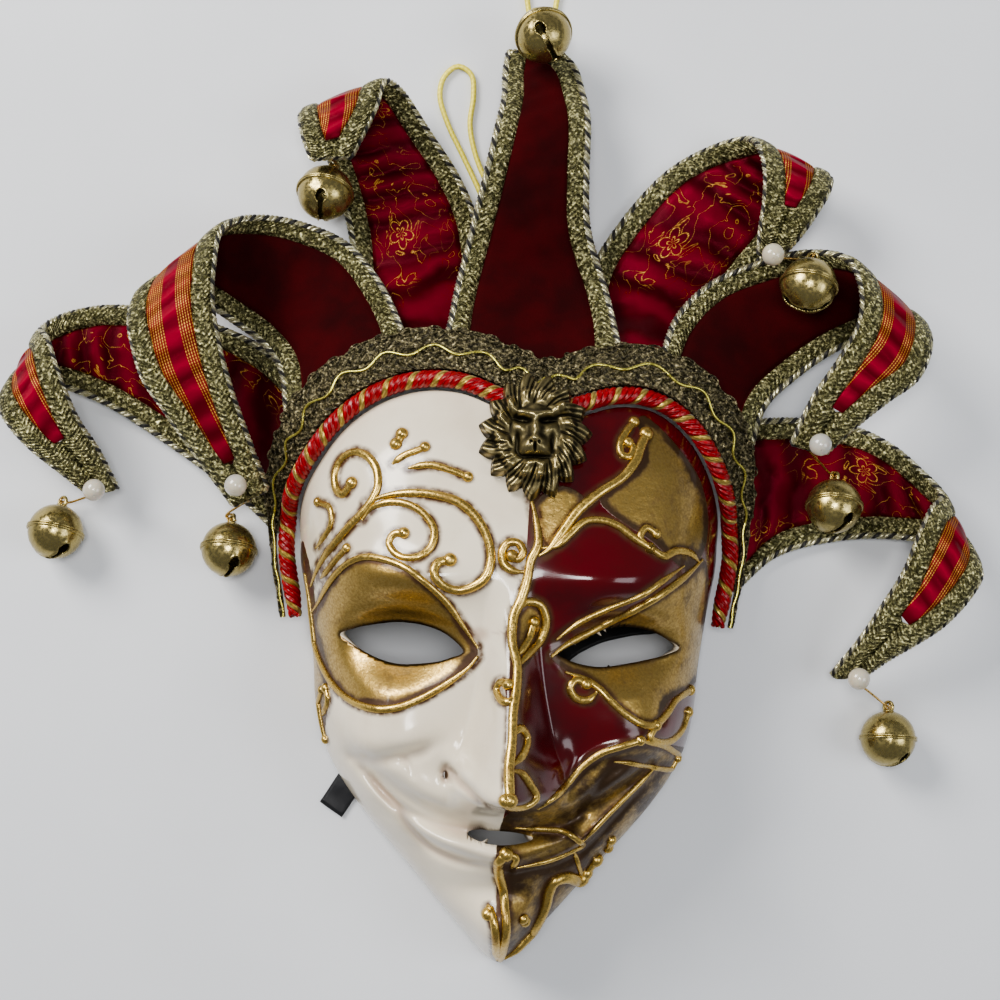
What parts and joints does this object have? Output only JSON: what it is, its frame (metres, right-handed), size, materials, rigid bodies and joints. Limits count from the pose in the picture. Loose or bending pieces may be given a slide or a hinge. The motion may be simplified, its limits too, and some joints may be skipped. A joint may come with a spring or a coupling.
{
  "type": "jester mask",
  "caption": "Carnival jester mask: hollow full-face shell, half ivory and half red with gilded scrolls, folded cloth horns edged in braid, round bells and a cast lion brooch.",
  "frame": {"origin": "centre of the box round the mask where it rests, on the surface it lies on; the free elastic isn't counted", "axes": "+Z out of the face, +Y to the crown, +X to the right of someone who looks at the face"},
  "size_m": [0.357, 0.3894, 0.0903],
  "materials": {
    "shell": "papier-mache under gloss enamel, half ivory and half red lacquer, with gilded relief",
    "rope": "twisted red satin and gold strands",
    "lace": "metallic lace, antique gold",
    "velvet": "velvet",
    "brocade": "red satin brocade with gold",
    "braid": "metallic braid, antique gold",
    "bell_brass": "antique brass",
    "wire_brass": "bright brass wire",
    "pearl": "pearl lustre",
    "cast_bronze": "antique bronze cast",
    "elastic": "metallic gold elastic cord",
    "ribbon": "black satin ribbon"
  },
  "bodies": {
    "root": {"mask_shell": "shell", "rim_cord": "rope", "lace_band": "lace", "horn_left_low": "brocade", "braid_left_low": "braid", "bell_left_low": "bell_brass", "link_left_low": "wire_brass", "horn_left_mid": "velvet", "braid_left_mid": "braid", "bell_left_mid": "bell_brass", "link_left_mid": "wire_brass", "horn_left_top": "brocade", "braid_left_top": "braid", "bell_left_top": "bell_brass", "link_left_top": "wire_brass", "horn_center": "velvet", "braid_center": "braid", "bell_center": "bell_brass", "link_center": "wire_brass", "horn_right_top": "brocade", "braid_right_top": "braid", "bell_right_top": "bell_brass", "link_right_top": "wire_brass", "horn_right_mid": "velvet", "braid_right_mid": "braid", "bell_right_mid": "bell_brass", "link_right_mid": "wire_brass", "horn_right_low": "brocade", "braid_right_low": "braid", "bell_right_low": "bell_brass", "link_right_low": "wire_brass", "pearl_left_low": "pearl", "pearl_left_mid": "pearl", "pearl_right_top": "pearl", "pearl_right_mid": "pearl", "pearl_right_low": "pearl", "brooch_lion": "cast_bronze", "hang_cord": "elastic", "tie_left": "ribbon", "tie_right": "ribbon"}
  },
  "joints": []
}
